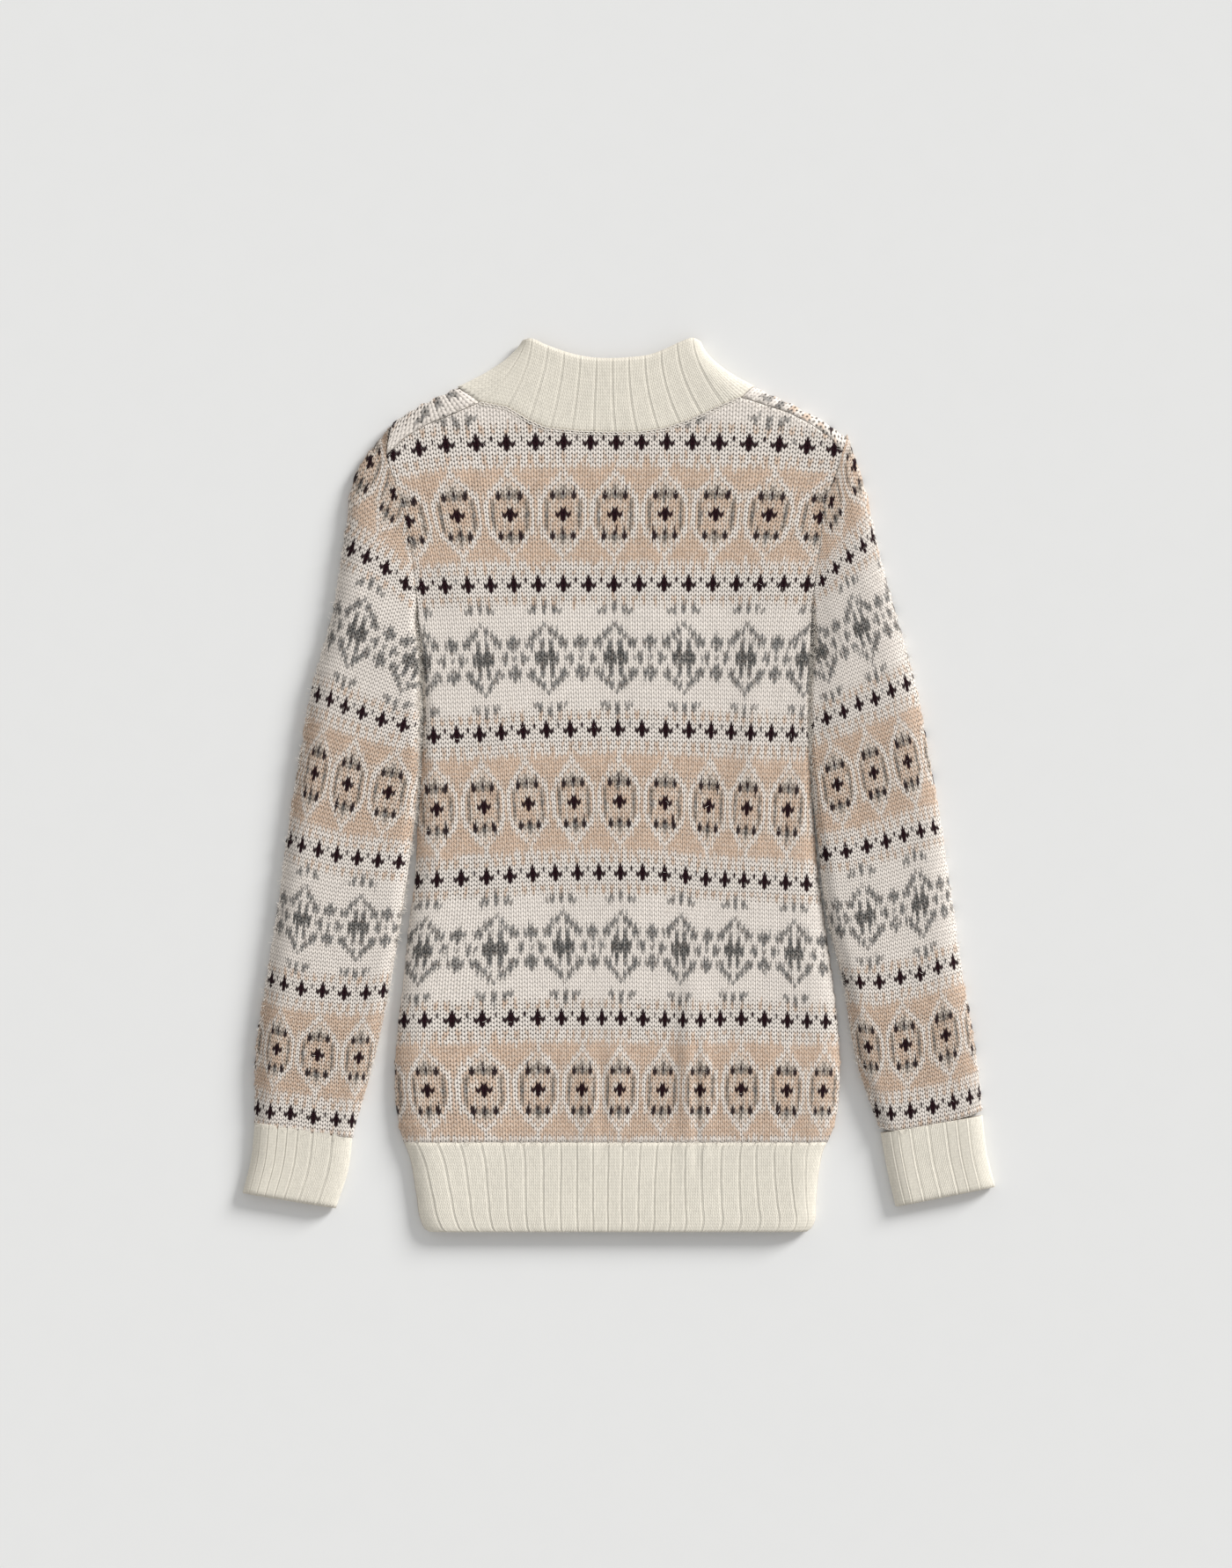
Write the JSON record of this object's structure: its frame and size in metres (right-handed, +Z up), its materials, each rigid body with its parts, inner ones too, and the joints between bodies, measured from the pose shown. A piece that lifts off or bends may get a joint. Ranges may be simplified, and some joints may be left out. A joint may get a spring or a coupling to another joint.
{
  "type": "jacquard cardigan",
  "caption": "Long-sleeved knitted cardigan in banded jacquard, laid face down on a table, with a ribbed stand collar, cuffs and hem and a buttoned front underneath.",
  "frame": {"origin": "centre of the bounding box on the table, under the laid-out garment", "axes": "+Z up from the table, +Y from the hem towards the collar, -X towards the wearer's left sleeve; the garment lies on its front, with its back up"},
  "size_m": [0.5814, 0.6894, 0.0136],
  "materials": {
    "jacquard_knit": "brushed wool, white, tan, grey and dark brown stitches",
    "rib_knit": "brushed wool, cream",
    "button": "satin horn brown"
  },
  "bodies": {
    "root": {"back": "jacquard_knit", "front_left": "jacquard_knit", "front_right": "jacquard_knit", "sleeve_left": "jacquard_knit", "sleeve_right": "jacquard_knit", "hem_back": "rib_knit", "hem_front_left": "rib_knit", "hem_front_right": "rib_knit", "collar": "rib_knit", "band_left": "rib_knit", "band_right": "rib_knit", "cuff_left": "rib_knit", "cuff_right": "rib_knit", "button_1": "button", "button_2": "button", "button_3": "button", "button_4": "button", "button_5": "button", "button_6": "button", "button_7": "button"}
  },
  "joints": []
}
